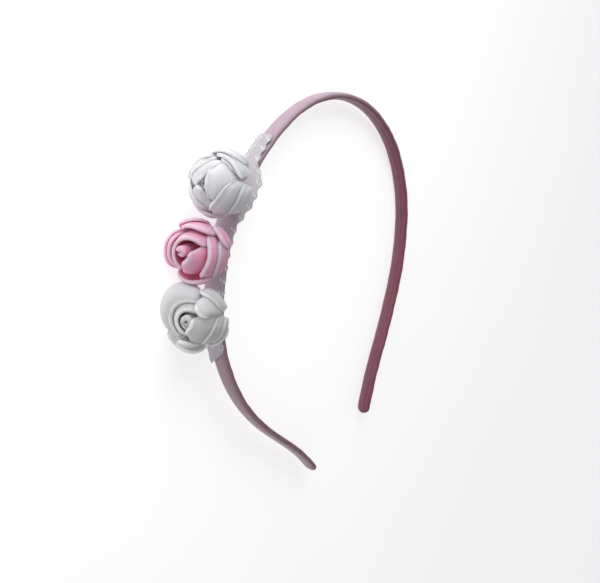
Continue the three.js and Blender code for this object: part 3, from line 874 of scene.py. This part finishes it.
def make_cotton(name, fine, colour):
    """Two crossed sets of thread lines as bump and shade on the flat map, and the value of the lines."""
    finish, tree, shader = start_finish(name)
    flat = flat_map(tree)
    heights = []
    for turn in THREAD_TURNS:
        lay = tree.nodes.new("ShaderNodeMapping")
        lay.inputs["Rotation"].default_value = (0.0, 0.0, turn)
        tree.links.new(flat, lay.inputs["Vector"])
        wave = tree.nodes.new("ShaderNodeTexWave")
        wave.inputs["Scale"].default_value = fine
        wave.inputs["Distortion"].default_value = 0.8
        tree.links.new(lay.outputs["Vector"], wave.inputs["Vector"])
        heights.append(wave.outputs["Fac"])
    both = tree.nodes.new("ShaderNodeMath")
    both.operation = "MAXIMUM"
    tree.links.new(heights[0], both.inputs[0])
    tree.links.new(heights[1], both.inputs[1])
    threads = both.outputs["Value"]
    colour_and_shade = ramp_of(tree, threads, [(0.0, *(GAP_SHADE * shade for shade in colour)), (1.0, *colour)])
    tree.links.new(colour_and_shade, shader.inputs["Base Color"])
    tree.links.new(bump_of(tree, threads, 0.0001, 0.5), shader.inputs["Normal"])
    shader.inputs["Roughness"].default_value = 0.85
    shader.inputs["Sheen Weight"].default_value = 0.25
    return finish, threads


def make_net(name, fine, colour, gap_cover):
    """The same threads, with gaps between them that cover only in part."""
    finish, threads = make_cotton(name, fine, colour)
    tree = finish.node_tree
    cover = spread(tree, threads, gap_cover, 1.0, from_low=0.65, from_high=0.9)
    tree.links.new(cover, tree.nodes["Principled BSDF"].inputs["Alpha"])
    return finish


# The net's grey colour, darker than the white stitch cotton, is painted shade.
NET = make_net("lace_net", fine=0.8, colour=(0.66, 0.615, 0.67), gap_cover=0.5)
STITCH = make_cotton("stitch_cotton", fine=1.6, colour=(0.97, 0.96, 0.98))[0]
print("net nodes:", len(NET.node_tree.nodes))

# %% [markdown]
# ## The lace strip
# The strip lies flat on the band's outer face and turns down past both sides. Under the top rose it is
# wider and a lobe of it stands out. A cloth simulation could drape it, but it follows the band closely all
# along. So one formula lays each of its points: flat on the band, round a small radius, then straight down.

# %% Lace surface
LACE_ARC = np.array([-24, -34, -39, -46, -54, -66, -84, -93.0])
LACE_UP = np.array([2.2, 2.7, 6.4, 6.6, 4.0, 3.8, 3.6, 3.0])
LACE_DOWN = np.array([2.3, 3.0, 4.2, 4.2, 4.2, 4.2, 3.8, 3.0])
LACE_DROOP = np.array([30, 40, 22, 22, 55, 65, 65, 65.0])
LACE_FLAT_HALF = 2.3
LACE_TURN_RADIUS = 1.4
LACE_PITCH = 3.6
LACE_PICOT = 0.3
LOWER_SLANT = 0.9
LACE_LENGTH = LACE_ARC[0] - LACE_ARC[-1]
MOTIFS = int(round(LACE_LENGTH / LACE_PITCH))


def lace_place(arc, across, lift=0.0):
    """Flat on the band, round a small radius down to the droop, then straight; lift leaves the cloth."""
    past = np.maximum(np.abs(across) - LACE_FLAT_HALF, 0)
    droop = np.radians(np.interp(-arc, -LACE_ARC, LACE_DROOP))
    turn = np.minimum(past / LACE_TURN_RADIUS, droop)
    rest = past - turn * LACE_TURN_RADIUS
    reach = LACE_TURN_RADIUS * np.sin(turn) + rest * np.cos(turn) + lift * np.sin(turn)
    drop = LACE_TURN_RADIUS * (1 - np.cos(turn)) + rest * np.sin(turn) - lift * np.cos(turn)
    sideways = np.sign(across) * (np.minimum(np.abs(across), LACE_FLAT_HALF) + reach)
    return beside_hoop(arc, BAND_THICKNESS / 2 + GAP + LACE_THICKNESS / 2 - drop, sideways)


def lace_arc(share, across):
    """Arc at a share of the strip's length, slanted more and more towards its lower end."""
    return LACE_ARC[0] - LACE_LENGTH * share + LOWER_SLANT * across * share**4


def lace_edge(share, column):
    """How far the strip reaches at a share of its length, with one small scallop for each motif."""
    reach = np.interp(share, (LACE_ARC[0] - LACE_ARC) / LACE_LENGTH, column)
    return reach - LACE_PICOT * np.cos(2 * np.pi * MOTIFS * share)


print("lace motifs:", MOTIFS)

# %% [markdown]
# ## The net and its eyelets
# Each motif of the lace has one small round eyelet near the lower edge. A see-through pattern could draw
# them, but real holes hold their shape in every view. The grid is so fine that it is enough to leave out the
# faces whose middle lies inside the round. A Solidify modifier then gives the net its thickness.

# %% Lace strip
EYELET_INSET = 1.0
EYELET_RADIUS = 0.36
LACE_SHEET = 0.28
LACE_ROWS_A_MOTIF = 22
LACE_COLUMNS = 60


def in_eyelet(share, across):
    """True where a point of the strip is inside the round eyelet of its own motif."""
    middle = (np.floor(share * MOTIFS) + 0.5) / MOTIFS
    far = (share - middle) * LACE_LENGTH
    centre = EYELET_INSET - lace_edge(share, LACE_DOWN)
    return np.hypot(far, across - centre) < EYELET_RADIUS


def make_lace():
    """Fine grid of shares along and across, without the faces inside the eyelets."""
    share = np.linspace(0, 1, MOTIFS * LACE_ROWS_A_MOTIF + 1)
    crossing = np.linspace(0, 1, LACE_COLUMNS)
    shares, crossings = np.meshgrid(share, crossing, indexing="ij")
    low, high = -lace_edge(shares, LACE_DOWN), lace_edge(shares, LACE_UP)
    across = low + (high - low) * crossings
    points = lace_place(lace_arc(shares, across), across).reshape(-1, 3)
    quads = grid_faces(np.arange(shares.size).reshape(shares.shape))
    at_share = shares.ravel()[quads].mean(axis=1)
    at_across = across.ravel()[quads].mean(axis=1)
    flat = np.stack([shares * LACE_LENGTH, across], axis=-1).reshape(-1, 2)
    kept = quads[~in_eyelet(at_share, at_across)]
    used, kept = np.unique(kept, return_inverse=True)
    kept = kept.reshape(-1, 4)
    lace = make_piece("lace", points[used], kept.tolist(), flat[used][kept].reshape(-1, 2), NET)
    thick = lace.modifiers.new("thickness", "SOLIDIFY")
    thick.thickness = LACE_SHEET * MM
    thick.offset = 0.0
    area = sum(face.area for face in lace.data.polygons)
    return lace, area


lace, lace_area = make_lace()
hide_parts("lace_strip")
print("lace area in square mm: %.0f" % (lace_area * 1e6))

# %% [markdown]
# ## The corded edge
# A thin cord runs along both edges of the lace, so that they end in a clear line. A curve with a bevel
# could draw it, but the cord has to follow the scallops and the turn of the cloth. So a small circle is
# carried along the edge by the formula that lays the net.

# %% Lace cord
CORD_RADIUS = 0.12
CORD_INSET = 0.1
CORD_END = 0.004
CORD_ROWS_A_MOTIF = 16
CORD_SIDES = 8
CORD_MAP_LENGTH = 70
CORD_MAP_WIDTH = 1.3


def make_cord(column, sign):
    """A round thread along one edge: circle of directions out of and along the cloth at each station."""
    share = np.linspace(CORD_END, 1 - CORD_END, MOTIFS * CORD_ROWS_A_MOTIF + 1)
    angle = 2 * np.pi * np.arange(CORD_SIDES) / CORD_SIDES
    shares, angles = np.meshgrid(share, angle, indexing="ij")
    across = sign * (lace_edge(shares, column) - CORD_INSET) + CORD_RADIUS * np.cos(angles)
    return lace_place(lace_arc(shares, across), across, CORD_RADIUS * np.sin(angles) * sign)


def make_edging():
    """Both edge cords in one mesh, their ends closed with flat caps."""
    parts, faces, uvs = [], [], []
    start = 0
    for column, sign in ((LACE_UP, 1.0), (LACE_DOWN, -1.0)):
        points = make_cord(column, sign)
        rows, columns = points.shape[:2]
        wrapped = closed_round(rows, columns, start)
        along = np.linspace(0, CORD_MAP_LENGTH, rows)
        around = np.linspace(0, CORD_MAP_WIDTH, columns + 1)
        flat = np.stack(np.meshgrid(along, around, indexing="ij"), axis=-1)
        corners = grid_faces(np.arange(rows * (columns + 1)).reshape(rows, columns + 1))
        caps = [wrapped[0, :-1].tolist(), wrapped[-1, :-1][::-1].tolist()]
        faces += grid_faces(wrapped).tolist() + caps
        uvs += [flat.reshape(-1, 2)[corners].reshape(-1, 2), np.zeros((2 * columns, 2))]
        parts.append(points.reshape(-1, 3))
        start += rows * columns
    return make_piece("lace_edging", np.concatenate(parts), faces, np.concatenate(uvs), STITCH)


edging = make_edging()
print("edging:", len(edging.data.polygons), "faces")

# %% [markdown]
# ## The stitches
# Near both edges a pair of short slanting stitches stands on the net in each motif. Copies of one object
# would each need a place and a turn of their own. Here all the stitches are one array of small closed pads,
# laid on the cloth by the same formula as the net.

# %% Stitches
STITCH_LENGTH = 1.5
STITCH_WIDTH = 0.46
STITCH_RISE = 0.32
STITCH_CLEAR = 0.02
STITCH_SLANT = math.radians(20)
STITCH_INSET = 1.0
STITCH_SIDES = 12
STITCH_RINGS = np.array([0.45, 0.8, 1.0])
PAIR_ALONG = 0.3
PAIR_ACROSS = 0.42


def make_stitches():
    """Slanting pads in pairs: long ellipses, raised by the root of one less the squared distance."""
    motif = (np.arange(MOTIFS) + 0.5) / MOTIFS
    centre, side, pair = (
        part.ravel()[:, None] for part in np.meshgrid(motif, [1.0, -1.0], [-1.0, 1.0], indexing="ij")
    )
    ring = 2 * np.pi * np.arange(STITCH_SIDES) / STITCH_SIDES
    outs, rings = np.meshgrid(STITCH_RINGS, ring, indexing="ij")
    u = np.append(0.0, (outs * np.cos(rings)).ravel()) * STITCH_LENGTH / 2
    v = np.append(0.0, (outs * np.sin(rings)).ravel()) * STITCH_WIDTH / 2
    rise = np.append(1.0, np.sqrt(1 - outs**2).ravel()) * STITCH_RISE
    along = u * math.cos(STITCH_SLANT) - v * math.sin(STITCH_SLANT)
    over = u * math.sin(STITCH_SLANT) + v * math.cos(STITCH_SLANT)
    share = centre + (PAIR_ALONG * pair + along) / LACE_LENGTH
    reach = np.where(side > 0, lace_edge(share, LACE_UP), lace_edge(share, LACE_DOWN))
    across = side * (reach - STITCH_INSET + PAIR_ACROSS * pair + over)
    points = lace_place(lace_arc(share, across), across, rise[None] + STITCH_CLEAR)
    wrapped = closed_round(len(STITCH_RINGS), STITCH_SIDES, 1)
    quads = grid_faces(wrapped)
    fan = np.stack([np.zeros(STITCH_SIDES, int), wrapped[0, :-1], wrapped[0, 1:]], axis=-1)
    base = wrapped[-1, :-1]
    faces, uvs = [], []
    flat = np.stack([u, v], axis=-1)
    for number, flip in enumerate(np.where(side[:, 0] > 0, 1, -1)):
        start = number * points.shape[1]
        for part in (quads[:, ::flip], fan[:, ::flip], base[None, ::-flip]):
            faces += (start + part).tolist()
            uvs.append(flat[part].reshape(-1, 2))
    return make_piece("lace_stitches", points.reshape(-1, 3), faces, np.concatenate(uvs), STITCH)


stitches = make_stitches()
print("stitches:", len(stitches.data.polygons), "faces")

# %% [markdown]
# ## The table top
# The headband lies on a pale table top that glows a little, as a light table does. A picture behind the
# part would take no shadow, and a plain white floor would look grey. So the floor is a real square, with a
# little glow in its finish.

# %% Floor
TABLE_HALF = 3.0
TABLE_GLOW = 0.55
CLOUDS_PER_M = 6.0


def make_floor():
    """A plain square, wide enough to fill the picture, that glows a little."""
    mesh = bpy.data.meshes.new("table_top")
    signs = [(-1, -1), (1, -1), (1, 1), (-1, 1)]
    mesh.from_pydata([(x * TABLE_HALF, y * TABLE_HALF, 0.0) for x, y in signs], [], [(0, 1, 2, 3)])
    finish, tree, shader = start_finish("pale_table")
    place = tree.nodes.new("ShaderNodeTexCoord").outputs["Object"]
    cloud = noise_of(tree, place, CLOUDS_PER_M, 2.0)
    shade = ramp_of(tree, cloud, [(0.3, 0.90, 0.90, 0.90), (0.7, 0.93, 0.93, 0.93)])
    tree.links.new(shade, shader.inputs["Base Color"])
    shader.inputs["Roughness"].default_value = 0.7
    shader.inputs["Emission Color"].default_value = (1.0, 1.0, 1.0, 1.0)
    shader.inputs["Emission Strength"].default_value = TABLE_GLOW
    mesh.materials.append(finish)
    floor = bpy.data.objects.new("table_top", mesh)
    bpy.context.collection.objects.link(floor)
    return floor


floor = make_floor()
print("floor:", [round(side, 1) for side in floor.dimensions])

# %% [markdown]
# ## Light
# One soft lamp stands near the part on the crown's side, and a weak sky lights the rest. A sun lamp would
# draw hard shadows. A near square lamp draws soft ones and leaves the roses bright towards the crown and
# grey away from it.

# %% Light
SKY_STRENGTH = 0.34


def add_lamp(name, towards, distance, size, power):
    """A square soft lamp at a distance in a direction, turned to the middle of the object."""
    lamp = bpy.data.lights.new(name, "AREA")
    lamp.energy = power
    lamp.size = size
    lit = bpy.data.objects.new(name, lamp)
    direction = np.array(towards) / np.linalg.norm(towards)
    lit.location = direction * distance
    lit.rotation_mode = "QUATERNION"
    lit.rotation_quaternion = (-lit.location).to_track_quat("-Z", "Y")
    bpy.context.collection.objects.link(lit)
    return lit


add_lamp("crown_side_lamp", towards=(-0.2, 0.93, 0.4), distance=0.32, size=0.25, power=0.53)
sky = bpy.data.worlds.new("pale_sky")
sky.use_nodes = True
sky.node_tree.nodes["Background"].inputs["Color"].default_value = (1.0, 1.0, 1.0, 1.0)
sky.node_tree.nodes["Background"].inputs["Strength"].default_value = SKY_STRENGTH
bpy.context.scene.world = sky
bpy.context.scene.view_settings.view_transform = "Standard"
print("lamps:", [lamp.name for lamp in bpy.data.lights])

# %% [markdown]
# ## Camera
# The camera looks down over the roses into the hoop. A constraint could aim it at a target, but here its
# place and two directions are given on the hoop's own axes, so that it is tipped and shifted together with
# the part.

# %% Camera
EYE = np.array([-197.4, 126.3, 134.3])
LOOK = np.array([0.711, -0.467, -0.525])
HEAD = np.array([0.433, 0.880, -0.196])
LENS = 46.26
SENSOR = 36.0


def place_camera():
    """Three square directions from the line of sight and the picture's head, tipped with the object."""
    forward = LOOK / np.linalg.norm(LOOK)
    right = np.cross(forward, HEAD)
    right = right / np.linalg.norm(right)
    head = np.cross(right, forward)
    turned = TIP @ np.stack([right, head, -forward], axis=-1)
    camera = bpy.data.cameras.new("camera")
    camera.lens = LENS
    camera.sensor_width = SENSOR
    camera.sensor_fit = "HORIZONTAL"
    camera.clip_start = 0.01
    seen = bpy.data.objects.new("camera", camera)
    bpy.context.collection.objects.link(seen)
    where = Matrix(turned.tolist()).to_4x4()
    where.translation = TIP @ EYE * MM + SHIFT
    seen.matrix_world = where
    bpy.context.scene.camera = seen
    return seen


camera = place_camera()
print("camera height in mm: %.0f" % (1000 * camera.location.z))
